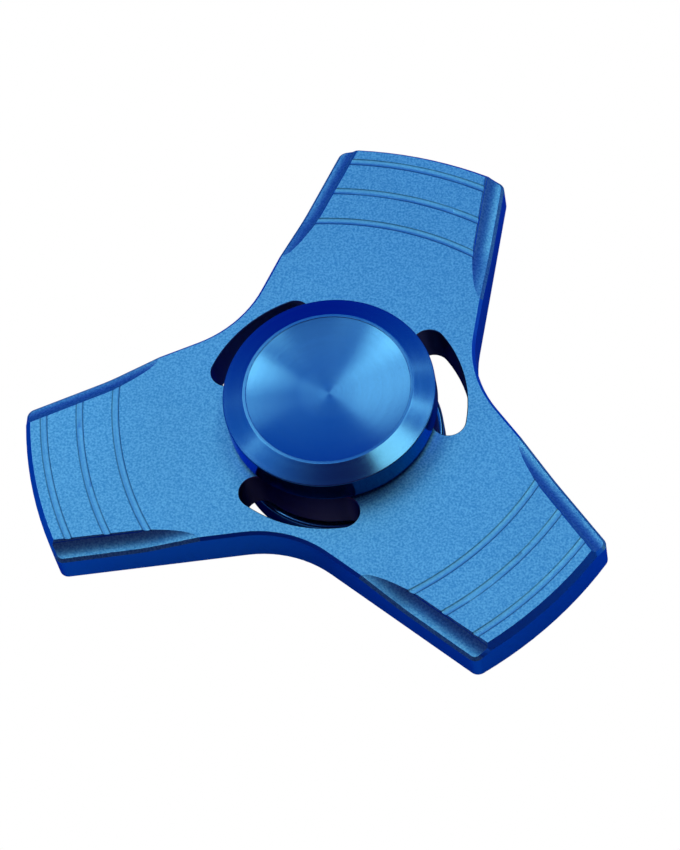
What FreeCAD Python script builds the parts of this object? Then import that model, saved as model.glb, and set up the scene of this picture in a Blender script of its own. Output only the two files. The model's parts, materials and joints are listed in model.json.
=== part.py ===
import FreeCAD, Part
import math
import os
import types
import Sketcher

# Three-armed metal fidget spinner on a 608 ball bearing, gripped between two finger caps.
# Frame: millimetres, +Z along the spin axis, one arm along +Y, origin at the bearing's centre.
# Every size lives in the spreadsheet "Sizes", and the features read it by expression.

SIZES = [
    # alias, value, meaning (millimetres unless the meaning says degrees)
    ("arm_count", 3, "arms, equally spaced"),
    ("body_thickness", 6.2, "thickness of the spinner body"),
    ("tip_radius", 38.3, "spin axis to the middle of an arm's tip"),
    ("arc_setback", 12, "spin axis to the centre of the tip's arc, which lies behind it"),
    ("root_half_width", 16.12, "half width of an arm, its sides produced to the spin axis"),
    ("side_taper", 7.86, "degrees that each arm side leans towards the tip"),
    ("waist_radius", 14.3, "concave blend between neighbouring arms"),
    ("tip_corner_radius", 1.2, "rounding of the arm corners in plan"),
    ("upper_bevel", 0.38, "bevel round the upper outer edge"),
    ("lower_bevel", 0.85, "bevel round the lower outer edge"),
    ("tip_bevel_width", 0.72, "wider bevel over a tip, measured across the upper face"),
    ("tip_bevel_height", 0.95, "the same bevel, measured down the tip"),
    ("scoop_radius", 3.09, "section radius of the scoops along the arm sides"),
    ("scoop_depth", 1.14, "depth of a scoop where it starts to rise"),
    ("scoop_inset", 0, "scoop centre line to the arm's side"),
    ("scoop_fall", 0.8, "degrees that a scoop deepens towards the tip"),
    ("scoop_rise_start", 27.6, "distance along the arm where a scoop starts to rise, inwards"),
    ("scoop_rise_radius", 15, "radius of that turn"),
    ("scoop_rise_angle", 8.6, "degrees of that turn"),
    ("scoop_rise_roll", 95, "degrees from level to the direction in which a scoop rises"),
    ("scoop_reach", 14, "length of a scoop's path beyond each end of its turn"),
    ("line_outer", 35.9, "spin axis to the middle of the outermost decorative groove"),
    ("line_middle", 31.4, "spin axis to the middle of the middle decorative groove"),
    ("line_inner", 26.9, "spin axis to the middle of the innermost decorative groove"),
    ("line_section_radius", 1.18, "section radius of the decorative grooves"),
    ("line_depth", 0.1, "depth of the decorative grooves"),
    ("slot_inner_radius", 12.5, "inner wall of the kidney slots"),
    ("slot_outer_radius", 16.6, "outer wall of the kidney slots"),
    ("slot_half_angle", 22.6, "degrees from a slot's middle to its end centres"),
    ("edge_break", 0.12, "small bevel on the edges of slots, bore and boss"),
    ("bearing_radius", 11, "outside of the 608 bearing"),
    ("bearing_bore_radius", 4, "bore of the 608 bearing"),
    ("bearing_width", 7, "width of the 608 bearing"),
    ("ring_corner", 0.3, "corner chamfer of the bearing rings"),
    ("pitch_radius", 7.5, "spin axis to the ball centres"),
    ("ball_count", 7, "balls in the bearing"),
    ("ball_radius", 1.9845, "5/32 inch ball"),
    ("ball_play", 0.01, "running clearance of a ball in each raceway"),
    ("raceway_radius", 2.06, "section radius of both raceways"),
    ("inner_shoulder_radius", 6.05, "outside of the inner ring"),
    ("outer_shoulder_radius", 9, "inside of the outer ring beside its raceway"),
    ("seat_radius", 9.6, "recess in the outer ring that holds a shield"),
    ("seat_height", 2.55, "mid plane to the shield's seat"),
    ("shield_sheet", 0.25, "sheet thickness of a shield"),
    ("shield_bore_radius", 6.25, "hole in a shield, clear of the inner ring"),
    ("shield_rim", 0.65, "flat rim of a shield"),
    ("shield_dish", 0.15, "how far a shield's middle stands out from its rim"),
    ("clip_wire_radius", 0.2, "wire of a shield's snap ring"),
    ("clip_groove_radius", 9.9, "groove in the outer ring for a snap ring"),
    ("clip_play", 0.02, "clearance of a snap ring in its groove"),
    ("clip_gap_angle", 14, "degrees of a snap ring's gap"),
    ("cage_inner_radius", 6.75, "inner edge of the ball cage"),
    ("cage_outer_radius", 8.25, "outer edge of the ball cage"),
    ("cage_sheet", 0.3, "sheet thickness of the ball cage"),
    ("pocket_play", 0.05, "clearance of a ball in its pocket"),
    ("rivet_radius", 0.3, "shank of a cage rivet"),
    ("rivet_head_radius", 0.5, "head of a cage rivet"),
    ("rivet_head_height", 0.22, "height of a cage rivet's head"),
    ("cap_radius", 13.1, "outside of a finger cap"),
    ("skirt_height", 3.7, "mid plane to the near edge of a cap's skirt"),
    ("bevel_height", 7.26, "mid plane to the foot of a cap's bevel"),
    ("cap_height", 8.1, "mid plane to a cap's lip"),
    ("lip_radius", 10.5, "outer edge of the lip"),
    ("lip_width", 0.35, "flat of the lip"),
    ("lip_step", 0.06, "small bevel between the lip and the finger dish"),
    ("dish_depth", 1.2, "depth of the finger dish below the lip"),
    ("relief_radius", 11.7, "inside of a cap's skirt"),
    ("relief_height", 4.3, "mid plane to a cap's relief over the bearing"),
    ("boss_radius", 5.6, "boss that bears on the inner ring"),
    ("skirt_round", 0.4, "rounding of the skirt's lower edge"),
    ("bevel_round", 0.12, "rounding of the two edges of the bevel"),
    ("stem_play", 0.01, "radial clearance of a stem in the bearing's bore"),
    ("stem_gap", 0.1, "axial gap between the two stems"),
    ("stud_radius", 2.5, "M5 stud of the lower cap, and its tapped hole"),
    ("stud_length", 3.2, "stud beyond its stem"),
    ("tapped_depth", 3.6, "tapped hole in the upper cap's stem"),
]


class Size:
    """A number together with the formula that the document binds to it."""

    def __init__(self, value, formula=None):
        self.value = value
        self.formula = repr(value) if formula is None else formula

    def joined(self, other, sign, value):
        return Size(value, "(%s %s %s)" % (self.formula, sign, other.formula))

    def __add__(self, other):
        other = as_size(other)
        return self.joined(other, "+", self.value + other.value)

    def __sub__(self, other):
        other = as_size(other)
        return self.joined(other, "-", self.value - other.value)

    def __mul__(self, other):
        other = as_size(other)
        return self.joined(other, "*", self.value * other.value)

    def __truediv__(self, other):
        other = as_size(other)
        return self.joined(other, "/", self.value / other.value)

    def __neg__(self):
        return Size(-self.value, "(-1 * %s)" % self.formula)


def as_size(number):
    return number if isinstance(number, Size) else Size(number)


def sin(angle):
    return Size(math.sin(math.radians(angle.value)), "sin(%s)" % angle.formula)


def cos(angle):
    return Size(math.cos(math.radians(angle.value)), "cos(%s)" % angle.formula)


def tan(angle):
    return Size(math.tan(math.radians(angle.value)), "tan(%s)" % angle.formula)


doc = FreeCAD.newDocument("fidget_spinner")
sheet = doc.addObject("Spreadsheet::Sheet", "Sizes")
s = types.SimpleNamespace()
for row, (alias, value, meaning) in enumerate(SIZES, start=1):
    sheet.set("A%d" % row, alias)
    sheet.set("B%d" % row, str(value))
    sheet.set("C%d" % row, meaning)
    sheet.setAlias("B%d" % row, alias)
    setattr(s, alias, Size(value, "Sizes." + alias))
doc.recompute()

subparts = []
NOTHING = Size(0.0)
START, END, CENTRE = 1, 2, 3
X_AXIS, Y_AXIS = -1, -2
ORIGIN = (-1, 1)
TRIM_REACH = Size(12.0)              # beyond every part of the ball cage
BORE_REACH = Size(1.0)               # how far the bore's cut runs past each face
TIP_CORNER_GUESS = 77                # degrees; the arm's constraints settle the real corner
SAME_PLACE = 1e-4                    # points closer than this are one point
SAME_DIRECTION = 1e-6                # slack on the cosine between two directions
SMALLEST_CUT = 1e-6                  # cubic millimetres that a real cut removes at least


# ---------------------------------------------------------------- bodies and sketches

def new_body(label):
    body = doc.addObject("PartDesign::Body", label)
    body.Label = label
    subparts.append(body)
    return body


def datum(body, role):
    return next(item for item in body.Origin.OriginFeatures if item.Role == role)


def new_sketch(body, name, role):
    sketch = body.newObject("Sketcher::SketchObject", name)
    sketch.AttachmentSupport = [(datum(body, role), "")]
    sketch.MapMode = "FlatFace"
    return sketch


def bind(sketch, constraint, amount):
    index = sketch.addConstraint(constraint)
    sketch.setExpression("Constraints[%d]" % index, amount.formula)


def pin_along(sketch, kind, axis, geometry, position, amount):
    """Fix one coordinate of a point: on the axis itself when the amount is nothing."""
    if amount is NOTHING:
        sketch.addConstraint(Sketcher.Constraint("PointOnObject", geometry, position, axis))
    else:
        bind(sketch, Sketcher.Constraint(kind, geometry, position, amount.value), amount)


def pin(sketch, geometry, position, point):
    pin_along(sketch, "DistanceX", Y_AXIS, geometry, position, point[0])
    pin_along(sketch, "DistanceY", X_AXIS, geometry, position, point[1])


def vector(point):
    return FreeCAD.Vector(point[0].value, point[1].value, 0)


def straight(sketch, first, second):
    return sketch.addGeometry(Part.LineSegment(vector(first), vector(second)), False)


def arc(sketch, centre, radius, first_angle, last_angle):
    """An anticlockwise arc; its angles, in degrees, only place the first guess."""
    circle = Part.Circle(vector(centre), FreeCAD.Vector(0, 0, 1), radius.value)
    ends = math.radians(first_angle), math.radians(last_angle)
    return sketch.addGeometry(Part.ArcOfCircle(circle, *ends), False)


def circle(sketch, centre, radius):
    shape = Part.Circle(vector(centre), FreeCAD.Vector(0, 0, 1), radius.value)
    index = sketch.addGeometry(shape, False)
    pin(sketch, index, CENTRE, centre)
    bind(sketch, Sketcher.Constraint("Radius", index, radius.value), radius)
    return index


def meet(sketch, first, second):
    sketch.addConstraint(Sketcher.Constraint("Coincident", *first, *second))


def polyline(sketch, corners):
    """Straight edges through corners that the sheet drives; returns the edges' numbers."""
    edges = [straight(sketch, *pair) for pair in zip(corners, corners[1:])]
    for edge, corner in zip(edges, corners):
        pin(sketch, edge, START, corner)
    for edge, following in zip(edges, edges[1:]):
        meet(sketch, (edge, END), (following, START))
    return edges


def polygon(sketch, corners):
    edges = polyline(sketch, corners + corners[:1])
    meet(sketch, (edges[-1], END), (edges[0], START))


# ---------------------------------------------------------------- features

def revolve(body, name, corners, cut=False):
    """Turn a polygon of (radius, height) corners about the spin axis."""
    sketch = new_sketch(body, name + "_profile", "XZ_Plane")
    polygon(sketch, corners)
    return turn(body, name, sketch, cut)


def turn(body, name, sketch, cut=False):
    kind = "PartDesign::Groove" if cut else "PartDesign::Revolution"
    feature = body.newObject(kind, name)
    feature.Profile = sketch
    feature.ReferenceAxis = (sketch, ["V_Axis"])
    feature.Angle = 360
    doc.recompute()
    return feature


def rectangle(low_radius, high_radius, low, high):
    return [(low_radius, low), (high_radius, low), (high_radius, high), (low_radius, high)]


def ring_groove(body, name, sections):
    """Cut rings of circular section, each given as (ring radius, height, section radius)."""
    sketch = new_sketch(body, name + "_profile", "XZ_Plane")
    for ring_radius, height, section_radius in sections:
        circle(sketch, (ring_radius, height), section_radius)
    return turn(body, name, sketch, cut=True)


def repeat_around(body, name, feature, count):
    """Repeat a feature about the spin axis, or the whole body so far when it is None."""
    pattern = body.newObject("PartDesign::PolarPattern", name)
    if feature is None:
        pattern.TransformMode = "Whole shape"
    else:
        pattern.Originals = [feature]
    pattern.Axis = (datum(body, "Z_Axis"), [""])
    pattern.Angle = 360
    pattern.setExpression("Occurrences", count.formula)
    body.Tip = pattern
    doc.recompute()
    return pattern


def through_pocket(body, name, sketch):
    pocket = body.newObject("PartDesign::Pocket", name)
    pocket.Profile = sketch
    pocket.Type = "ThroughAll"
    pocket.Midplane = True
    doc.recompute()
    return pocket


def dress(body, kind, name, base, amount, wanted):
    """Bevel or round the edges of a feature that the test picks."""
    picked = [i for i, edge in enumerate(base.Shape.Edges, start=1) if wanted(edge)]
    feature = body.newObject("PartDesign::" + kind, name)
    feature.Base = (base, ["Edge%d" % i for i in picked])
    feature.setExpression("Radius" if kind == "Fillet" else "Size", amount.formula)
    doc.recompute()
    return feature


def must_remove(before, after, what):
    """A cut that points away from the solid raises no error, so volumes are compared."""
    if after.Shape.Volume > before.Shape.Volume - SMALLEST_CUT:
        raise RuntimeError(what + " removed nothing")


def end_radii(edge):
    return [math.hypot(v.Point.x, v.Point.y) for v in edge.Vertexes]


def is_upright(edge):
    direction = edge.tangentAt(edge.FirstParameter)
    return abs(direction.z) > 1 - SAME_DIRECTION


def is_level_at(height):
    def test(edge):
        return all(abs(v.Point.z - height) < SAME_PLACE for v in edge.Vertexes)
    return test


def is_ring_at(radius, height):
    """A test for the closed edge of a turned piece that runs through one point of its profile."""
    def test(edge):
        near = [abs(math.hypot(v.Point.x, v.Point.y) - radius) + abs(v.Point.z - height)
                for v in edge.Vertexes]
        return max(near) < SAME_PLACE
    return test


# ---------------------------------------------------------------- spinner body

def build_spinner_body():
    body = new_body("spinner_body")
    half = s.body_thickness / 2
    half_sector = Size(180) / s.arm_count
    junction = s.root_half_width / (sin(half_sector) + tan(s.side_taper) * cos(half_sector))
    joint = (junction * sin(half_sector), junction * cos(half_sector))
    mirrored_joint = (-joint[0], joint[1])
    corner_guess = Size(TIP_CORNER_GUESS)
    tip_corner = ((s.tip_radius + s.arc_setback) * cos(corner_guess),
                  (s.tip_radius + s.arc_setback) * sin(corner_guess) - s.arc_setback)

    # One arm, from the spin axis out to its tip.
    sketch = new_sketch(body, "arm_outline", "XY_Plane")
    centre = (NOTHING, NOTHING)
    arc_centre = (NOTHING, -s.arc_setback)
    arc_radius = s.tip_radius + s.arc_setback
    right_root = straight(sketch, centre, joint)
    right_side = straight(sketch, joint, tip_corner)
    tip = arc(sketch, arc_centre, arc_radius, TIP_CORNER_GUESS, 180 - TIP_CORNER_GUESS)
    left_side = straight(sketch, (-tip_corner[0], tip_corner[1]), mirrored_joint)
    left_root = straight(sketch, mirrored_joint, centre)
    meet(sketch, (right_root, START), ORIGIN)
    meet(sketch, (right_root, END), (right_side, START))
    meet(sketch, (right_side, END), (tip, START))
    meet(sketch, (tip, END), (left_side, START))
    meet(sketch, (left_side, END), (left_root, START))
    meet(sketch, (left_root, END), ORIGIN)
    pin(sketch, tip, CENTRE, arc_centre)
    pin(sketch, right_root, END, joint)
    pin(sketch, left_root, START, mirrored_joint)
    bind(sketch, Sketcher.Constraint("Radius", tip, arc_radius.value), arc_radius)
    lean = Size(90) + s.side_taper
    bind(sketch, Sketcher.Constraint("Angle", right_side, math.radians(lean.value)), lean)
    sketch.addConstraint(Sketcher.Constraint("Symmetric", tip, START, tip, END, Y_AXIS))

    pad = body.newObject("PartDesign::Pad", "arm")
    pad.Profile = sketch
    pad.Midplane = True
    pad.setExpression("Length", s.body_thickness.formula)
    doc.recompute()
    arms = repeat_around(body, "arms", pad, s.arm_count)

    middle_radius = s.tip_radius.value / 2
    waists = dress(body, "Fillet", "waists", arms, s.waist_radius,
                   lambda edge: is_upright(edge) and SAME_PLACE < max(end_radii(edge)) < middle_radius)
    corners = dress(body, "Fillet", "tip_corners", waists, s.tip_corner_radius,
                    lambda edge: is_upright(edge) and min(end_radii(edge)) > middle_radius)

    scoops = cut_scoops(body)
    must_remove(corners, scoops, "scoops")
    upper = dress(body, "Chamfer", "upper_bevel", scoops, s.upper_bevel,
                  borders_of_walls(scoops.Shape, above=True))
    lower = dress(body, "Chamfer", "lower_bevel", upper, s.lower_bevel,
                  borders_of_walls(upper.Shape, above=False))

    # The wide bevel over a tip and the decorative grooves turn about the centre of the tip's
    # arc. At that radius they reach one arm only, so each is repeated for every arm.
    slope = [(arc_radius - s.tip_bevel_width, half),
             (arc_radius + s.tip_bevel_width, half),
             (arc_radius + s.tip_bevel_width, half - s.tip_bevel_height * 2)]
    sketch = arc_sketch(body, "tip_bevel")
    polygon(sketch, slope)
    tip_bevels = repeat_around(body, "tip_bevels", turn(body, "tip_bevel", sketch, cut=True),
                               s.arm_count)
    must_remove(lower, tip_bevels, "tip bevels")
    sketch = arc_sketch(body, "line")
    rise = half + s.line_section_radius - s.line_depth
    for distance in (s.line_outer, s.line_middle, s.line_inner):
        for height in (rise, -rise):
            circle(sketch, (distance + s.arc_setback, height), s.line_section_radius)
    lines = repeat_around(body, "lines", turn(body, "line", sketch, cut=True), s.arm_count)
    must_remove(tip_bevels, lines, "decorative lines")

    slots = cut_slots(body)
    must_remove(lines, slots, "slots")
    bore = revolve(body, "bearing_bore",
                   rectangle(NOTHING, s.bearing_radius, -(half + BORE_REACH), half + BORE_REACH),
                   cut=True)
    must_remove(slots, bore, "bearing bore")
    faces = is_level_at(half.value), is_level_at(-half.value)
    inner_limit = s.slot_outer_radius.value + SAME_PLACE
    dress(body, "Chamfer", "edge_break", bore, s.edge_break,
          lambda edge: any(face(edge) for face in faces) and max(end_radii(edge)) < inner_limit)


def is_wall(face):
    """True for the flat and round faces that stand upright."""
    surface = face.Surface
    if isinstance(surface, Part.Plane):
        return abs(surface.Axis.z) < SAME_DIRECTION
    if isinstance(surface, Part.Cylinder):
        return abs(surface.Axis.z) > 1 - SAME_DIRECTION
    return False


def arc_sketch(body, name):
    """An upright sketch whose vertical axis runs through the centre of the first tip's arc."""
    sketch = new_sketch(body, name + "_profile", "XZ_Plane")
    sketch.setExpression("AttachmentOffset.Base.z", s.arc_setback.formula)
    return sketch


def borders_of_walls(shape, above):
    """A test for the edges between the upright outer walls and everything above or below."""
    uses = {}
    for face in shape.Faces:
        for edge in face.Edges:
            uses.setdefault(edge.hashCode(), []).append(is_wall(face))

    def test(edge):
        heights = [v.Point.z for v in edge.Vertexes]
        same_side = min(heights) > 0 if above else max(heights) < 0
        return same_side and sorted(uses[edge.hashCode()]) == [False, True]
    return test


def cut_scoops(body):
    """Round-bottomed scoops along both sides of every arm's upper face.

    A scoop follows the arm's side and deepens slowly towards the tip. Inwards it rises and
    leaves through the side, so that it fades out into the upper face.
    """
    level = s.body_thickness / 2 + s.scoop_radius - s.scoop_depth
    offset = s.root_half_width - s.scoop_inset / cos(s.side_taper)
    turn_place = (offset - tan(s.side_taper) * s.scoop_rise_start, s.scoop_rise_start, level)
    # The path's plane has X along the side towards the tip and Y in the direction of the rise.
    angles = (Size(90) + s.side_taper, s.scoop_fall, Size(180) - s.scoop_rise_roll)
    path = new_sketch(body, "scoop_path", "XY_Plane")
    path.setExpression("AttachmentOffset", placement_formula(turn_place, angles))
    outer_end = (s.scoop_reach, NOTHING)
    corner = (NOTHING, NOTHING)
    pivot = (NOTHING, s.scoop_rise_radius)
    sweep_end = (-(s.scoop_rise_radius * sin(s.scoop_rise_angle)),
                 s.scoop_rise_radius - s.scoop_rise_radius * cos(s.scoop_rise_angle))
    inner_end = (sweep_end[0] - s.scoop_reach * cos(s.scoop_rise_angle),
                 sweep_end[1] + s.scoop_reach * sin(s.scoop_rise_angle))
    run = straight(path, outer_end, corner)
    sweep = arc(path, pivot, s.scoop_rise_radius, 270 - s.scoop_rise_angle.value, 270)
    rise = straight(path, sweep_end, inner_end)
    pin(path, run, START, outer_end)
    meet(path, (run, END), ORIGIN)
    pin(path, sweep, CENTRE, pivot)
    meet(path, (sweep, END), (run, END))
    pin_along(path, "DistanceX", Y_AXIS, sweep, START, sweep_end[0])
    meet(path, (sweep, START), (rise, START))
    pin(path, rise, END, inner_end)

    section = body.newObject("Sketcher::SketchObject", "scoop_section")
    section.AttachmentSupport = [(path, "Edge1")]
    section.MapMode = "NormalToEdge"
    circle(section, (NOTHING, NOTHING), s.scoop_radius)

    scoop = body.newObject("PartDesign::SubtractivePipe", "scoop")
    scoop.Profile = section
    scoop.Spine = path
    doc.recompute()

    across = body.newObject("PartDesign::Mirrored", "other_side")
    across.MirrorPlane = (datum(body, "YZ_Plane"), [""])
    around = body.newObject("PartDesign::PolarPattern", "each_arm")
    around.Axis = (datum(body, "Z_Axis"), [""])
    around.Angle = 360
    around.setExpression("Occurrences", s.arm_count.formula)
    scoops = body.newObject("PartDesign::MultiTransform", "scoops")
    scoops.Originals = [scoop]
    scoops.Transformations = [across, around]
    body.Tip = scoops
    doc.recompute()
    return scoops


def placement_formula(place, angles):
    """The expression of a placement, from a point and yaw, pitch and roll in degrees."""
    lengths = "; ".join("1 mm * %s" % number.formula for number in place)
    turns = "; ".join(number.formula for number in angles)
    return "placement(vector(%s); rotation(%s))" % (lengths, turns)


def cut_slots(body):
    """Kidney slots centred between the arms; the first one faces -Y."""
    middle = (s.slot_inner_radius + s.slot_outer_radius) / 2
    end_radius = (s.slot_outer_radius - s.slot_inner_radius) / 2
    reach = middle * sin(s.slot_half_angle)
    drop = -(middle * cos(s.slot_half_angle))
    half_angle = s.slot_half_angle.value
    sketch = new_sketch(body, "slot_outline", "XY_Plane")
    centre = (NOTHING, NOTHING)
    outer = arc(sketch, centre, s.slot_outer_radius, 270 - half_angle, 270 + half_angle)
    inner = arc(sketch, centre, s.slot_inner_radius, 270 - half_angle, 270 + half_angle)
    right = arc(sketch, (reach, drop), end_radius, half_angle - 90, half_angle + 90)
    left = arc(sketch, (-reach, drop), end_radius, 90 - half_angle, 270 - half_angle)
    for geometry, radius in ((outer, s.slot_outer_radius), (inner, s.slot_inner_radius)):
        meet(sketch, (geometry, CENTRE), ORIGIN)
        bind(sketch, Sketcher.Constraint("Radius", geometry, radius.value), radius)
    joins = [(outer, END, right, START), (right, END, inner, END),
             (inner, START, left, START), (left, END, outer, START)]
    for join in joins:
        sketch.addConstraint(Sketcher.Constraint("Tangent", *join))
    pin_along(sketch, "DistanceX", Y_AXIS, right, CENTRE, reach)
    pin_along(sketch, "DistanceX", Y_AXIS, left, CENTRE, -reach)
    slot = through_pocket(body, "slot", sketch)
    return repeat_around(body, "slots", slot, s.arm_count)


# ---------------------------------------------------------------- bearing

def build_outer_ring():
    face = s.bearing_width / 2
    shoulder = s.outer_shoulder_radius
    shield_top = s.seat_height + s.shield_sheet
    clip_top = shield_top + s.clip_wire_radius * 2 + s.clip_play
    steps = [(shoulder, s.seat_height),
             (s.seat_radius, s.seat_height),
             (s.seat_radius, shield_top),
             (s.clip_groove_radius, shield_top),
             (s.clip_groove_radius, clip_top),
             (s.seat_radius, clip_top),
             (s.seat_radius, face),
             (s.bearing_radius - s.ring_corner, face),
             (s.bearing_radius, face - s.ring_corner)]
    mirrored = [(radius, -height) for radius, height in reversed(steps)]
    body = new_body("bearing_outer_ring")
    ring = revolve(body, "outer_ring", steps + mirrored)
    centre = s.pitch_radius + s.ball_radius + s.ball_play - s.raceway_radius
    raceway = ring_groove(body, "outer_raceway", [(centre, NOTHING, s.raceway_radius)])
    must_remove(ring, raceway, "outer raceway")


def build_inner_ring():
    face = s.bearing_width / 2
    steps = [(s.bearing_bore_radius, face - s.ring_corner),
             (s.bearing_bore_radius + s.ring_corner, face),
             (s.inner_shoulder_radius - s.edge_break, face),
             (s.inner_shoulder_radius, face - s.edge_break)]
    mirrored = [(radius, -height) for radius, height in reversed(steps)]
    body = new_body("bearing_inner_ring")
    ring = revolve(body, "inner_ring", steps + mirrored)
    centre = s.pitch_radius - s.ball_radius - s.ball_play + s.raceway_radius
    raceway = ring_groove(body, "inner_raceway", [(centre, NOTHING, s.raceway_radius)])
    must_remove(ring, raceway, "inner raceway")


def build_ball(number):
    """The first ball lies on +Y and the rest follow anticlockwise."""
    ball = doc.addObject("Part::Sphere", "ball_%d" % number)
    ball.Label = "ball_%d" % number
    angle = Size(90) + Size(number - 1) * 360 / s.ball_count
    ball.setExpression("Radius", s.ball_radius.formula)
    ball.setExpression("Placement.Base.x", (s.pitch_radius * cos(angle)).formula)
    ball.setExpression("Placement.Base.y", (s.pitch_radius * sin(angle)).formula)
    subparts.append(ball)


def sphere_in_cage(body, name, kind, radius, lowest_latitude):
    """A sphere, or its upper part, round the first ball."""
    sphere = body.newObject("PartDesign::%sSphere" % kind, name)
    sphere.Angle1 = lowest_latitude
    sphere.setExpression("Radius", radius.formula)
    sphere.setExpression("Placement.Base.y", s.pitch_radius.formula)
    doc.recompute()
    return sphere


def build_cage_half(label):
    """Half of a pressed ribbon cage: flat webs at the mid plane and a cup over every ball."""
    body = new_body(label)
    # One ball's share of the ribbon, repeated once for every ball at the end.
    sketch = new_sketch(body, "web_profile", "YZ_Plane")
    polygon(sketch, rectangle(s.cage_inner_radius, s.cage_outer_radius, NOTHING, s.cage_sheet))
    web = turn(body, "web", sketch)
    web.Midplane = True
    web.setExpression("Angle", (Size(360) / s.ball_count).formula)
    doc.recompute()
    pocket_radius = s.ball_radius + s.pocket_play
    cup = sphere_in_cage(body, "cup", "Additive", pocket_radius + s.cage_sheet, 0)
    inside = revolve(body, "trim_inside",
                     rectangle(NOTHING, s.cage_inner_radius, -TRIM_REACH, TRIM_REACH), cut=True)
    outside = revolve(body, "trim_outside",
                      rectangle(s.cage_outer_radius, TRIM_REACH, -TRIM_REACH, TRIM_REACH), cut=True)
    must_remove(cup, inside, "inner trim")
    must_remove(inside, outside, "outer trim")
    pocket = sphere_in_cage(body, "pocket", "Subtractive", pocket_radius, -90)
    must_remove(outside, pocket, "ball pocket")
    ribbon = repeat_around(body, "ribbon", None, s.ball_count)
    # An odd number of balls leaves a web, and its rivet, opposite the first ball.
    sketch = new_sketch(body, "rivet_hole_outline", "XY_Plane")
    place = (NOTHING, -s.pitch_radius)
    circle(sketch, place, s.rivet_radius)
    hole = through_pocket(body, "rivet_hole", sketch)
    must_remove(ribbon, hole, "rivet hole")
    repeat_around(body, "rivet_holes", hole, s.ball_count)
    return body


def build_cage_rivets():
    """Seven rivets through the webs, as separate solids of one node."""
    body = new_body("cage_rivets")
    body.AllowCompound = True
    head_top = s.cage_sheet + s.rivet_head_height
    head_edge = s.cage_sheet + s.rivet_head_height / 2
    steps = [(s.rivet_radius, s.cage_sheet),
             (s.rivet_head_radius, s.cage_sheet),
             (s.rivet_head_radius, head_edge),
             (s.rivet_radius, head_top),
             (NOTHING, head_top)]
    mirrored = [(radius, -height) for radius, height in reversed(steps)]
    sketch = new_sketch(body, "rivet_profile", "XZ_Plane")
    sketch.setExpression("AttachmentOffset.Base.z", s.pitch_radius.formula)
    polygon(sketch, steps + mirrored)
    rivet = turn(body, "rivet", sketch)
    repeat_around(body, "rivets", rivet, s.ball_count)


def build_shield(label):
    low = s.seat_height
    high = low + s.shield_sheet
    crease = s.seat_radius - s.shield_rim
    body = new_body(label)
    revolve(body, "shield",
            [(s.seat_radius, low), (s.seat_radius, high), (crease, high),
             (crease - s.shield_dish, high + s.shield_dish),
             (s.shield_bore_radius, high + s.shield_dish),
             (s.shield_bore_radius, low + s.shield_dish),
             (crease - s.shield_dish - s.shield_dish / 2, low + s.shield_dish),
             (crease - s.shield_dish / 2, low)])
    return body


def build_snap_ring(label):
    """A sprung wire ring, open at one place, that holds a shield on its seat."""
    body = new_body(label)
    place = (s.clip_groove_radius - s.clip_play - s.clip_wire_radius,
             s.seat_height + s.shield_sheet + s.clip_wire_radius)
    sketch = new_sketch(body, "wire_section", "XZ_Plane")
    circle(sketch, place, s.clip_wire_radius)
    wire = turn(body, "wire", sketch)
    wire.setExpression("Angle", (Size(360) - s.clip_gap_angle).formula)
    doc.recompute()
    return body


# ---------------------------------------------------------------- finger caps

def build_cap(label, stem_end):
    """A finger cap with its stem; stem_end lists the corners from the stem's edge to the axis."""
    body = new_body(label)
    face = s.bearing_width / 2
    stem_radius = s.bearing_bore_radius - s.stem_play
    dish_rim = (s.lip_radius - s.lip_width - s.lip_step, s.cap_height - s.lip_step)
    dish_floor = (NOTHING, s.cap_height - s.dish_depth)
    sketch = new_sketch(body, "cap_profile", "XZ_Plane")
    corners = [dish_rim,
               (s.lip_radius - s.lip_width, s.cap_height),
               (s.lip_radius, s.cap_height),
               (s.cap_radius, s.bevel_height),
               (s.cap_radius, s.skirt_height),
               (s.relief_radius, s.skirt_height),
               (s.relief_radius, s.relief_height),
               (s.boss_radius, s.relief_height),
               (s.boss_radius, face),
               (stem_radius, face),
               (stem_radius, s.stem_gap / 2)] + stem_end + [dish_floor]
    edges = polyline(sketch, corners)
    pin(sketch, edges[-1], END, dish_floor)
    # The dish is part of a sphere centred on the spin axis.
    drop = dish_rim[1] - dish_floor[1]
    dish_radius = (dish_rim[0] * dish_rim[0] + drop * drop) / (drop * 2)
    pivot = (NOTHING, dish_floor[1] + dish_radius)
    reach = math.degrees(math.asin(dish_rim[0].value / dish_radius.value))
    dish = arc(sketch, pivot, dish_radius, 270, 270 + reach)
    meet(sketch, (dish, START), (edges[-1], END))
    meet(sketch, (dish, END), (edges[0], START))
    sketch.addConstraint(Sketcher.Constraint("PointOnObject", dish, CENTRE, Y_AXIS))
    cap = turn(body, "cap", sketch)
    rim = dress(body, "Fillet", "skirt_edge", cap, s.skirt_round,
                is_ring_at(s.cap_radius.value, s.skirt_height.value))
    edges_of_bevel = [is_ring_at(s.cap_radius.value, s.bevel_height.value),
                      is_ring_at(s.lip_radius.value, s.cap_height.value)]
    dress(body, "Fillet", "bevel_edges", rim, s.bevel_round,
          lambda edge: any(test(edge) for test in edges_of_bevel))
    return body


def build_top_cap():
    top = s.stem_gap / 2 + s.tapped_depth
    build_cap("top_cap", [(s.stud_radius, s.stem_gap / 2), (s.stud_radius, top), (NOTHING, top)])


def build_bottom_cap():
    """Turned over, its stud reaches into the upper cap's tapped hole."""
    end = s.stem_gap / 2 - s.stud_length
    corners = [(s.stud_radius, s.stem_gap / 2), (s.stud_radius, end), (NOTHING, end)]
    turn_over(build_cap("bottom_cap", corners))


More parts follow.
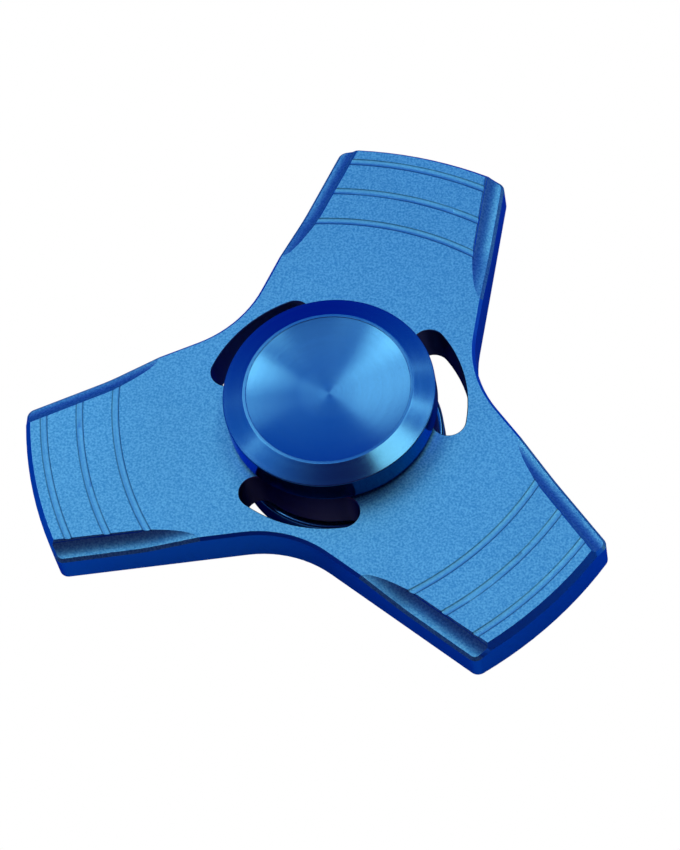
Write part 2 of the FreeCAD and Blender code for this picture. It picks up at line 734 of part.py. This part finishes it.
def turn_over(body):
    """Half a turn about +Y, which swaps top and bottom and keeps the first ball's place."""
    body.Placement = FreeCAD.Placement(FreeCAD.Vector(), FreeCAD.Rotation(FreeCAD.Vector(0, 1, 0), 180))


# ---------------------------------------------------------------- the whole spinner

build_spinner_body()
build_outer_ring()
build_inner_ring()
for number in range(1, s.ball_count.value + 1):
    build_ball(number)
build_cage_half("cage_upper")
turn_over(build_cage_half("cage_lower"))
build_cage_rivets()
build_shield("shield_upper")
turn_over(build_shield("shield_lower"))
build_snap_ring("snap_ring_upper")
turn_over(build_snap_ring("snap_ring_lower"))
build_top_cap()
build_bottom_cap()
doc.recompute()

for item in doc.Objects:
    if "Invalid" in item.State or "Error" in item.State:
        raise RuntimeError("%s failed: %s" % (item.Name, item.State))
for part in subparts:
    if part.Shape.isNull() or not part.Shape.isValid():
        raise RuntimeError("%s has no sound shape" % part.Label)

os.makedirs("parts", exist_ok=True)
for part in subparts:
    part.Shape.exportStep("parts/%s.step" % part.Label)
    print("%-20s %2d solids %10.3f mm3" % (part.Label, len(part.Shape.Solids), part.Shape.Volume))
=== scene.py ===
import json
import math

import bpy
from mathutils import Matrix, Vector


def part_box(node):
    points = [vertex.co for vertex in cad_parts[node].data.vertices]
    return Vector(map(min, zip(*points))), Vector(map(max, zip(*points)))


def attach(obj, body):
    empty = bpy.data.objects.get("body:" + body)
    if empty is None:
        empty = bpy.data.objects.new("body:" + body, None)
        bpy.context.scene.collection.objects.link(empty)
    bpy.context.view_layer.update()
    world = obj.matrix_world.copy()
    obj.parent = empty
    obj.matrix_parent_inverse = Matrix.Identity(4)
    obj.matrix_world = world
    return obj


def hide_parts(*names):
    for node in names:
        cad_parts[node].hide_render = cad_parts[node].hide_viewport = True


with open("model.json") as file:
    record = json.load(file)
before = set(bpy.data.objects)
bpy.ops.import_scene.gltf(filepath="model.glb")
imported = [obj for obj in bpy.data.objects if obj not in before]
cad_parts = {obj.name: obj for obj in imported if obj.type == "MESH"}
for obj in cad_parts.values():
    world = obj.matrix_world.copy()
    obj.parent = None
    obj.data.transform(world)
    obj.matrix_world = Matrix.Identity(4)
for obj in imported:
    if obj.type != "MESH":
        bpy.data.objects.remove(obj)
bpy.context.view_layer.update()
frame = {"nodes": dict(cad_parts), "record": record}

# Looks of the fidget spinner: blue anodised body and finger caps, steel bearing inside.
# Lengths are in metres and angles in degrees. The spin axis is Z and the bearing is at the origin.

MM = 0.001
nodes = frame["nodes"]
body_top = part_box("spinner_body")[1].z
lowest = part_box("bottom_cap")[0].z


def polar(azimuth, elevation):
    """Unit vector towards a direction, its azimuth counted from +X."""
    a, e = math.radians(azimuth), math.radians(elevation)
    return Vector((math.cos(a) * math.cos(e), math.sin(a) * math.cos(e), math.sin(e)))


# ---------------------------------------------------------------- camera

CAMERA_AZIMUTH = 29.58
CAMERA_ELEVATION = 59.88
CAMERA_ROLL = -13.53
CAMERA_DISTANCE = 446.6 * MM
CAMERA_AIM = (1.588 * MM, -2.022 * MM)          # X and Y of the point looked at, on the body's face
SENSOR_MM = 36                  # along the picture's long side
LENS_MM = 154.3


def make_camera():
    back = polar(CAMERA_AZIMUTH - 90, CAMERA_ELEVATION)
    right = polar(CAMERA_AZIMUTH, 0)
    up = back.cross(right)
    roll = math.radians(CAMERA_ROLL)
    rolled_right = right * math.cos(roll) + up * math.sin(roll)
    rolled_up = up * math.cos(roll) - right * math.sin(roll)
    data = bpy.data.cameras.new("camera")
    data.lens = LENS_MM
    data.sensor_width = SENSOR_MM
    data.clip_start = 10 * MM
    camera = bpy.data.objects.new("camera", data)
    turn = Matrix((rolled_right, rolled_up, back)).transposed().to_4x4()
    place = Vector((*CAMERA_AIM, body_top)) + back * CAMERA_DISTANCE
    camera.matrix_world = Matrix.Translation(place) @ turn
    bpy.context.scene.collection.objects.link(camera)
    bpy.context.scene.camera = camera


# ---------------------------------------------------------------- node helpers

class Nodes:
    """A short way to write a node tree."""

    def __init__(self, tree):
        self.tree = tree

    def add(self, kind, inputs=None, **settings):
        node = self.tree.nodes.new("ShaderNode" + kind)
        for key, value in settings.items():
            setattr(node, key, value)
        for key, value in (inputs or {}).items():
            self.set(node.inputs[key], value)
        return node

    def set(self, socket, value):
        if isinstance(value, bpy.types.NodeSocket):
            self.tree.links.new(value, socket)
        elif isinstance(value, tuple) and len(value) == 3 and len(socket.default_value) == 4:
            socket.default_value = (*value, 1)
        else:
            socket.default_value = value

    def math(self, operation, *values):
        return self.add("Math", dict(enumerate(values)), operation=operation).outputs[0]

    def vector_math(self, operation, *values):
        node = self.add("VectorMath", dict(enumerate(values)), operation=operation)
        is_number = operation in ("DISTANCE", "DOT_PRODUCT", "LENGTH")
        return node.outputs["Value" if is_number else "Vector"]

    def clamped_map(self, value, low, high, to_low=0.0, to_high=1.0):
        inputs = {"Value": value, "From Min": low, "From Max": high, "To Min": to_low, "To Max": to_high}
        return self.add("MapRange", inputs).outputs["Result"]

    def mix(self, factor, first, second):
        node = self.add("Mix", data_type="RGBA")
        self.set(node.inputs["Factor"], factor)
        self.set(node.inputs[6], first)
        self.set(node.inputs[7], second)
        return node.outputs[2]

    def height_of(self, vector):
        return self.add("SeparateXYZ", {"Vector": vector}).outputs["Z"]


class MaterialNodes(Nodes):
    """A new material's node tree."""

    def __init__(self, name):
        self.material = bpy.data.materials.new(name)
        self.material.use_nodes = True
        super().__init__(self.material.node_tree)
        self.shader = self.tree.nodes["Principled BSDF"]

    def place(self):
        return self.add("TexCoord").outputs["Object"]

    def in_plan(self, place):
        """A place's X and Y, with Z as 0."""
        return self.vector_math("MULTIPLY", place, (1.0, 1.0, 0.0))

    def noise(self, place, scale, detail=2.0, roughness=0.5):
        inputs = {"Vector": place, "Scale": scale, "Detail": detail, "Roughness": roughness}
        return self.add("TexNoise", inputs).outputs["Fac"]

    def spread(self, noise, low, high):
        """A noise, most of which lies between 0.3 and 0.7, stretched to a range."""
        return self.clamped_map(noise, 0.3, 0.7, low, high)

    def bump(self, height, distance, strength):
        inputs = {"Height": height, "Distance": distance, "Strength": strength}
        return self.add("Bump", inputs).outputs["Normal"]

    def tinted(self, colour, factor):
        """A colour made lighter or darker by a number that varies over the surface."""
        grey = self.add("CombineXYZ", {0: factor, 1: factor, 2: factor}).outputs[0]
        return self.vector_math("MULTIPLY", colour, grey)

    def edge_mask(self, radius):
        """Rises to 1 at sharp edges, where a small rounding would turn the normal."""
        rounded_normal = self.add("Bevel", {"Radius": radius}, samples=4).outputs["Normal"]
        flat_normal = self.add("NewGeometry").outputs["True Normal"]
        along = self.vector_math("DOT_PRODUCT", rounded_normal, flat_normal)
        return self.clamped_map(along, 0.999, 0.93)

    def shade(self, **values):
        for key, value in values.items():
            self.set(self.shader.inputs[key.replace("_", " ")], value)


# ---------------------------------------------------------------- the body's finish

BLASTED_DARK = (0.092, 0.415, 0.67)     # hollows of the blasted grain
BLASTED_LIGHT = (0.215, 0.655, 0.85)    # and its crests
DEEP_BLUE = (0.03, 0.27, 0.95)          # walls and bevels
SLOT_SHADE_GREY = (0.20, 0.17, 0.22)          # painted shade: grey in place of the deep blue on the slots' and the bore's walls
DEEP_TINT = (0.06, 0.16, 0.8)           # all blue metal at a glancing view

WALL_LIMIT = (0.61, 0.65)               # Z of the normal, between walls and faces
BEVEL_BAND = (0.008, 0.014)             # Z of the normal, away from that of a 45 degree bevel
SLOT_REACH = 17.5 * MM                  # spin axis to a place between the slots and the outline; shade is painted inside it
BLEND = 0.1 * MM                        # width over which one look turns into another

GRAIN_SCALE = 3800.0
GRAIN_DEPTH = 0.02 * MM
CLOUD_SCALE = 70.0
WALL_ROUGHNESS = 0.38
FACE_ROUGHNESS = 0.45
# painted highlight: faces made lighter along their sharp edges, over this rounding radius and by this
# share
EDGE_HIGHLIGHT_RADIUS = 0.12 * MM
EDGE_HIGHLIGHT_GAIN = 0.3

ARM_AZIMUTHS = (90, 210, 330)
ARM_LINES = (35.9 * MM, 31.4 * MM, 26.9 * MM)   # decorative grooves, along an arm's middle
LINE_SETBACK = 12 * MM                          # their common centre, behind the spin axis
LINE_HALF_WIDTH = 0.5 * MM
LINE_SMOOTHING = 0.7                            # share of the grain that the grooves lose
LINE_RIM = 0.42 * MM                            # middle of a rim's line of painted shade, from the middle of its groove
LINE_RIM_WIDTH = 0.12 * MM
# painted shade: the share by which the grooves' rims are made darker
LINE_RIM_SHADE = 0.58
LINE_HEIGHTS = (2.9 * MM, 2.95 * MM)            # the grooves' looks stay above these


def line_masks(m, place):
    """1 inside the decorative grooves, and 1 along their rims, where shade is painted."""
    nearest = None
    for azimuth in ARM_AZIMUTHS:
        centre = -polar(azimuth, 0) * LINE_SETBACK
        reach = m.vector_math("DISTANCE", m.in_plan(place), tuple(centre))
        for line in ARM_LINES:
            away = m.math("ABSOLUTE", m.math("SUBTRACT", reach, line + LINE_SETBACK))
            nearest = away if nearest is None else m.math("MINIMUM", nearest, away)
    on_face = m.clamped_map(m.math("ABSOLUTE", m.height_of(place)), *LINE_HEIGHTS)
    inside = m.clamped_map(nearest, LINE_HALF_WIDTH, LINE_HALF_WIDTH - BLEND)
    from_rim = m.math("ABSOLUTE", m.math("SUBTRACT", nearest, LINE_RIM))
    shaded_rims = m.clamped_map(from_rim, LINE_RIM_WIDTH, 0.0)
    return m.math("MULTIPLY", inside, on_face), m.math("MULTIPLY", shaded_rims, on_face)


def face_mask(m):
    """1 on faces and in the scoops, 0 on walls and on 45 degree bevels."""
    upright = m.math("ABSOLUTE", m.height_of(m.add("NewGeometry").outputs["Normal"]))
    off_bevel = m.math("ABSOLUTE", m.math("SUBTRACT", upright, math.sqrt(0.5)))
    return m.math("MULTIPLY", m.clamped_map(upright, *WALL_LIMIT), m.clamped_map(off_bevel, *BEVEL_BAND))


def blasted_aluminium():
    """Bead-blasted and anodised: fine grain on the faces, smoother deep blue on walls and bevels, painted
    grey shade on the walls of the slots and the bore, a painted highlight along the faces' edges and
    painted shade along the grooves' rims.
    """
    m = MaterialNodes("blasted_blue")
    place = m.place()
    face = face_mask(m)
    grooves, shaded_rims = line_masks(m, place)

    fine = m.noise(place, GRAIN_SCALE, 1.0)
    left = m.math("SUBTRACT", 1.0, m.math("MULTIPLY", grooves, LINE_SMOOTHING))
    calmed = m.math("MULTIPLY_ADD", m.math("SUBTRACT", fine, 0.5), left, 0.5)
    blasted = m.mix(m.clamped_map(calmed, 0.32, 0.68), BLASTED_DARK, BLASTED_LIGHT)
    reach = m.vector_math("LENGTH", m.in_plan(place))
    outside = m.clamped_map(reach, SLOT_REACH, SLOT_REACH + BLEND)
    # painted shade: the walls of the slots and the bore take a grey in place of the deep blue
    colour = m.mix(face, m.mix(outside, SLOT_SHADE_GREY, DEEP_BLUE), blasted)

    cloud = m.spread(m.noise(place, CLOUD_SCALE), 0.97, 1.03)
    # painted highlight along the faces' sharp edges
    edge_highlight = m.math("MULTIPLY", m.edge_mask(EDGE_HIGHLIGHT_RADIUS), face)
    tint = m.math("ADD", cloud, m.math("MULTIPLY", edge_highlight, EDGE_HIGHLIGHT_GAIN))
    # painted shade: darker lines along the grooves' rims
    rim_shade = m.math("SUBTRACT", 1.0, m.math("MULTIPLY", shaded_rims, LINE_RIM_SHADE))
    m.shade(Base_Color=m.tinted(colour, m.math("MULTIPLY", tint, rim_shade)), Metallic=1.0)
    m.shade(Specular_Tint=DEEP_TINT)
    m.shade(Roughness=m.clamped_map(face, 0.0, 1.0, WALL_ROUGHNESS, FACE_ROUGHNESS))
    grained = m.math("MULTIPLY", face, m.math("SUBTRACT", 1.0, grooves))
    m.shade(Normal=m.bump(m.math("MULTIPLY", fine, grained), GRAIN_DEPTH, 0.6))
    return m.material


# ---------------------------------------------------------------- the other finishes

TURNED_BLUE = (0.092, 0.33, 0.575)
TOOL_MARK_DEPTH = 0.004 * MM
STEEL_GRAIN_DEPTH = 0.003 * MM


def turned_aluminium(name, roughness, anisotropy):
    """Turned and anodised: tool marks in rings about the spin axis."""
    m = MaterialNodes(name)
    place = m.place()
    radius = m.vector_math("LENGTH", m.in_plan(place))
    ring = m.add("CombineXYZ", {"X": radius, "Z": m.height_of(place)}).outputs[0]
    marks = m.noise(ring, 9000.0, 3.0, 0.6)
    bands = m.noise(ring, 900.0)
    grain = m.noise(place, 3500.0)
    tint = m.math("MULTIPLY", m.spread(marks, 0.95, 1.05), m.spread(grain, 0.97, 1.03))
    m.shade(Base_Color=m.tinted(TURNED_BLUE, tint), Metallic=1.0)
    m.shade(Specular_Tint=DEEP_TINT)
    m.shade(Roughness=m.spread(bands, roughness - 0.02, roughness + 0.02))
    m.shade(Anisotropic=anisotropy, Anisotropic_Rotation=0.25)
    m.shade(Tangent=m.add("Tangent", direction_type="RADIAL", axis="Z").outputs[0])
    m.shade(Normal=m.bump(marks, TOOL_MARK_DEPTH, 0.3))
    return m.material


def steel(name, colour, roughness, scale):
    m = MaterialNodes(name)
    grain = m.noise(m.place(), scale, 3.0, 0.6)
    m.shade(Base_Color=m.tinted(colour, m.spread(grain, 0.9, 1.08)), Metallic=1.0)
    m.shade(Roughness=m.spread(grain, roughness * 0.85, roughness * 1.15))
    m.shade(Normal=m.bump(grain, STEEL_GRAIN_DEPTH, 0.3))
    return m.material


def make_finishes():
    """The materials by slot, and the second finish that both caps carry."""
    return {
        "anodised_body": blasted_aluminium(),
        "anodised_cap": turned_aluminium("turned_blue", 0.22, 0.8),
        "cap_outside": turned_aluminium("turned_blue_outside", 0.16, 0.2),
        "ring_steel": steel("ground_steel", (0.56, 0.57, 0.60), 0.22, 4000.0),
        "ball_steel": steel("polished_steel", (0.75, 0.76, 0.78), 0.06, 2500.0),
        "cage_steel": steel("pressed_steel", (0.50, 0.48, 0.45), 0.35, 3000.0),
        "shield_steel": steel("sheet_steel", (0.60, 0.60, 0.62), 0.3, 2500.0),
        "clip_steel": steel("spring_steel", (0.25, 0.25, 0.27), 0.3, 5000.0),
    }


def paint(node, material):
    mesh = nodes[node].data
    mesh.materials.clear()
    mesh.materials.append(material)


# ---------------------------------------------------------------- finger caps

CAP_RADIUS = 13.1 * MM
SKIRT_HEIGHT = 3.7 * MM
BEVEL_HEIGHT = 7.26 * MM
CAP_HEIGHT = 8.1 * MM
LIP_RADIUS = 10.5 * MM
LIP_WIDTH = 0.35 * MM
LIP_STEP = 0.06 * MM
DISH_DEPTH = 1.2 * MM
RELIEF_RADIUS = 11.7 * MM
RELIEF_HEIGHT = 4.3 * MM
BOSS_RADIUS = 5.6 * MM
BOSS_HEIGHT = 3.5 * MM
STEM_RADIUS = 3.99 * MM
STEM_END = 0.05 * MM
STUD_RADIUS = 2.5 * MM
STUD_REACH = 3.15 * MM
STUD_POINT = 0.35 * MM          # how far the stud narrows at its end
TAPPED_DEPTH = 3.65 * MM
THREAD_PITCH = 0.8 * MM
THREAD_DEPTH = 0.2 * MM
THREAD_START = 0.1 * MM         # plain lengths before a thread and after it
HOLE_RUNOUT = 0.3 * MM
STUD_RUNOUT = 0.4 * MM

CAP_SEGMENTS = 256
DISH_STEPS = 48
CORNER_STEPS = 5
SHARP_ANGLE = 28
FLAT_MARGIN = 0.06 * MM         # keeps the shading of straight runs flat up to their ends


def rounded(corner, before, after, radius):
    """Points that round a profile's corner with an arc of the given radius."""
    corner = Vector(corner)
    to_before = (Vector(before) - corner).normalized()
    to_after = (Vector(after) - corner).normalized()
    half = to_before.angle(to_after) / 2
    centre = corner + (to_before + to_after).normalized() * radius / math.sin(half)
    first = (corner + to_before * radius / math.tan(half) - centre).normalized()
    last = (corner + to_after * radius / math.tan(half) - centre).normalized()
    turns = [k / CORNER_STEPS for k in range(CORNER_STEPS + 1)]
    return [tuple(centre + first.slerp(last, turn) * radius) for turn in turns]


def round_corners(corners):
    """A profile through corners given as radius, height and edge rounding, 0 for a sharp one."""
    points = [corner[:2] for corner in corners]
    profile = []
    for i, (point, corner) in enumerate(zip(points, corners)):
        rounding = corner[2]
        profile += rounded(point, points[i - 1], points[i + 1], rounding) if rounding else [point]
    return profile


def supported(points):
    """Adds a point close to each end of every long straight run."""
    result = [points[0]]
    for here, there in zip(points, points[1:]):
        run = Vector(there) - Vector(here)
        if run.length > 4 * FLAT_MARGIN:
            step = run.normalized() * FLAT_MARGIN
            result += [tuple(Vector(here) + step), tuple(Vector(there) - step)]
        result.append(there)
    return result


def dish_profile():
    """The finger dish from the middle to its rim: part of a sphere."""
    rim = LIP_RADIUS - LIP_WIDTH - LIP_STEP
    drop = DISH_DEPTH - LIP_STEP
    sphere = (rim * rim + drop * drop) / (2 * drop)
    radii = [rim * k / DISH_STEPS for k in range(DISH_STEPS + 1)]
    return [(r, CAP_HEIGHT - DISH_DEPTH + sphere - math.sqrt(sphere * sphere - r * r)) for r in radii]


def threads(start, end, groove_radius):
    """Ring grooves in place of a fine thread between two heights, as profile points."""
    turns = int(abs(end - start) / THREAD_PITCH)
    step = (end - start) / turns
    points = []
    for k in range(turns):
        points.append((STUD_RADIUS, start + step * k))
        points.append((groove_radius, start + step * (k + 0.5)))
    return points + [(STUD_RADIUS, end)]


def make_cap(name, node, below):
    """A turned cap of one closed profile, spun about the spin axis; below ends it at its stem."""
    dish = dish_profile()
    corners = [(*dish[-1], 0),
               (LIP_RADIUS - LIP_WIDTH, CAP_HEIGHT, 0.05 * MM),
               (LIP_RADIUS, CAP_HEIGHT, 0.12 * MM),
               (CAP_RADIUS, BEVEL_HEIGHT, 0.12 * MM),
               (CAP_RADIUS, SKIRT_HEIGHT, 0.4 * MM),
               (RELIEF_RADIUS, SKIRT_HEIGHT, 0.1 * MM),
               (RELIEF_RADIUS, RELIEF_HEIGHT, 0),
               (BOSS_RADIUS, RELIEF_HEIGHT, 0),
               (BOSS_RADIUS, BOSS_HEIGHT, 0.1 * MM),
               (STEM_RADIUS, BOSS_HEIGHT, 0),
               (STEM_RADIUS, STEM_END, 0)]
    mesh = spun_mesh(name, dish[:-1] + supported(round_corners(corners)) + below)
    cap = bpy.data.objects.new(name, mesh)
    bpy.context.scene.collection.objects.link(cap)
    if node == "bottom_cap":
        mesh.transform(Matrix.Rotation(math.pi, 4, "Y"))
    mesh.shade_smooth()
    mesh.set_sharp_from_angle(angle=math.radians(SHARP_ANGLE))
    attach(cap, "hub")
    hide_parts(node)
    return cap


def spun_mesh(name, profile):
    """Spin a profile that starts and ends on the axis into a closed mesh."""
    rings = [point for point in profile if point[0] > 0]
    turns = [2 * math.pi * k / CAP_SEGMENTS for k in range(CAP_SEGMENTS)]
    points = [(r * math.cos(t), r * math.sin(t), z) for r, z in rings for t in turns]
    points += [(0, 0, profile[0][1]), (0, 0, profile[-1][1])]
    start, end = len(points) - 2, len(points) - 1
    last_ring = (len(rings) - 1) * CAP_SEGMENTS
    faces = []
    for k in range(CAP_SEGMENTS):
        n = (k + 1) % CAP_SEGMENTS
        faces.append((start, k, n))
        faces.append((end, last_ring + n, last_ring + k))
        for ring in range(0, last_ring, CAP_SEGMENTS):
            faces.append((ring + k, ring + CAP_SEGMENTS + k, ring + CAP_SEGMENTS + n, ring + n))
    mesh = bpy.data.meshes.new(name)
    mesh.from_pydata(points, [], faces)
    mesh.update()
    return mesh


def make_caps():
    hole = threads(STEM_END + THREAD_START, TAPPED_DEPTH - HOLE_RUNOUT, STUD_RADIUS + THREAD_DEPTH)
    hole_end = [(STUD_RADIUS, TAPPED_DEPTH), (0, TAPPED_DEPTH)]
    stud = threads(STEM_END - THREAD_START, STUD_RUNOUT - STUD_REACH, STUD_RADIUS - THREAD_DEPTH)
    stud_end = [(STUD_RADIUS - STUD_POINT, -STUD_REACH), (0, -STUD_REACH)]
    stem_end = [(STUD_RADIUS, STEM_END)]
    return [make_cap("upper_finger_cap", "top_cap", stem_end + hole + hole_end),
            make_cap("lower_finger_cap", "bottom_cap", stem_end + stud + stud_end)]


def finish_cap(cap, finishes):
    """The dish and its lip show tool marks; everything outside the lip is turned finer."""
    cap.data.materials.append(finishes["anodised_cap"])
    cap.data.materials.append(finishes["cap_outside"])
    for face in cap.data.polygons:
        reach = math.hypot(face.center.x, face.center.y)
        if reach > LIP_RADIUS - 0.05 * MM:
            face.material_index = 1


# ---------------------------------------------------------------- stage

FLOOR_HALF = 1.5
FLOOR_GAP = 0.02 * MM
FLOOR_PALE = (0.8, 0.8, 0.8)            # what the spinner mirrors
FLOOR_UNLIT = (0.0, 0.0, 0.0)           # for the camera, which sees only the floor's own white
WHITE = (1.0, 1.0, 1.0)

FRONT = (0.035, 0.014, 0.07)            # the room on the camera's side
BACK_LOW = (0.0, 0.01, 0.36)            # and behind the spinner
BACK_HIGH = (0.01, 0.17, 0.60)

SOFTBOX_DISTANCE = 0.9
SOFTBOX_COLOUR = (1.0, 1.0, 0.8)
SOFTBOXES = [
    # name, azimuth from +X, elevation, width, radiance
    ("right_key", 68, 62, 0.22, 2.8),
    ("right_top", 32, 72, 0.24, 1.95),
    ("right_low", 82, 50, 0.22, 0.8),
    ("left_key", 171, 62, 0.22, 1.8),
    ("left_low", 145, 54, 0.36, 1.2),
    ("left_top", 178, 73, 0.22, 0.5),
    ("overhead", 118, 78, 0.22, 0.35),
    ("right_fill", 22, 14, 0.30, 0.9),
]


def make_floor():
    """A plain pale floor, white to the camera and clear from below, so the underside can be looked at."""
    corners = [(-1, -1), (1, -1), (1, 1), (-1, 1)]
    mesh = bpy.data.meshes.new("floor")
    level = lowest - FLOOR_GAP
    mesh.from_pydata([(x * FLOOR_HALF, y * FLOOR_HALF, level) for x, y in corners], [], [(0, 1, 2, 3)])
    floor = bpy.data.objects.new("floor", mesh)
    bpy.context.scene.collection.objects.link(floor)
    m = MaterialNodes("pale_floor")
    seen = m.add("LightPath").outputs["Is Camera Ray"]
    m.shade(Base_Color=m.mix(seen, FLOOR_PALE, FLOOR_UNLIT), Roughness=0.9, Specular_IOR_Level=0.0)
    m.shade(Emission_Color=WHITE, Emission_Strength=seen)
    m.shade(Alpha=m.math("SUBTRACT", 1.0, m.add("NewGeometry").outputs["Backfacing"]))
    mesh.materials.append(m.material)


def make_world():
    """Nearly black on the camera's side and blue behind; the camera itself sees white."""
    world = bpy.data.worlds.new("studio")
    world.use_nodes = True
    bpy.context.scene.world = world
    w = Nodes(world.node_tree)
    direction = w.add("TexCoord").outputs["Generated"]
    behind = w.vector_math("DOT_PRODUCT", direction, polar(CAMERA_AZIMUTH + 90, 0))
    sky = w.mix(w.clamped_map(w.height_of(direction), 0.35, 0.75), BACK_LOW, BACK_HIGH)
    room = w.mix(w.clamped_map(behind, -0.12, 0.15), FRONT, sky)
    shown = w.mix(w.add("LightPath").outputs["Is Camera Ray"], room, WHITE)
    w.set(w.tree.nodes["Background"].inputs["Color"], shown)


def make_softbox(name, azimuth, elevation, width, radiance):
    """A square soft light that faces the origin."""
    data = bpy.data.lights.new(name, "AREA")
    data.shape = "SQUARE"
    data.size = width
    data.energy = radiance * math.pi * width * width
    data.color = SOFTBOX_COLOUR
    light = bpy.data.objects.new(name, data)
    towards = polar(azimuth, elevation)
    light.location = towards * SOFTBOX_DISTANCE
    light.rotation_euler = towards.to_track_quat("Z", "Y").to_euler()
    bpy.context.scene.collection.objects.link(light)


make_camera()
finishes = make_finishes()
for part in frame["record"]["subparts"]:
    paint(part["node"], finishes[part["material_slot"]])
for cap in make_caps():
    finish_cap(cap, finishes)
make_floor()
make_world()
for box in SOFTBOXES:
    make_softbox(*box)
bpy.context.scene.view_settings.view_transform = "Standard"
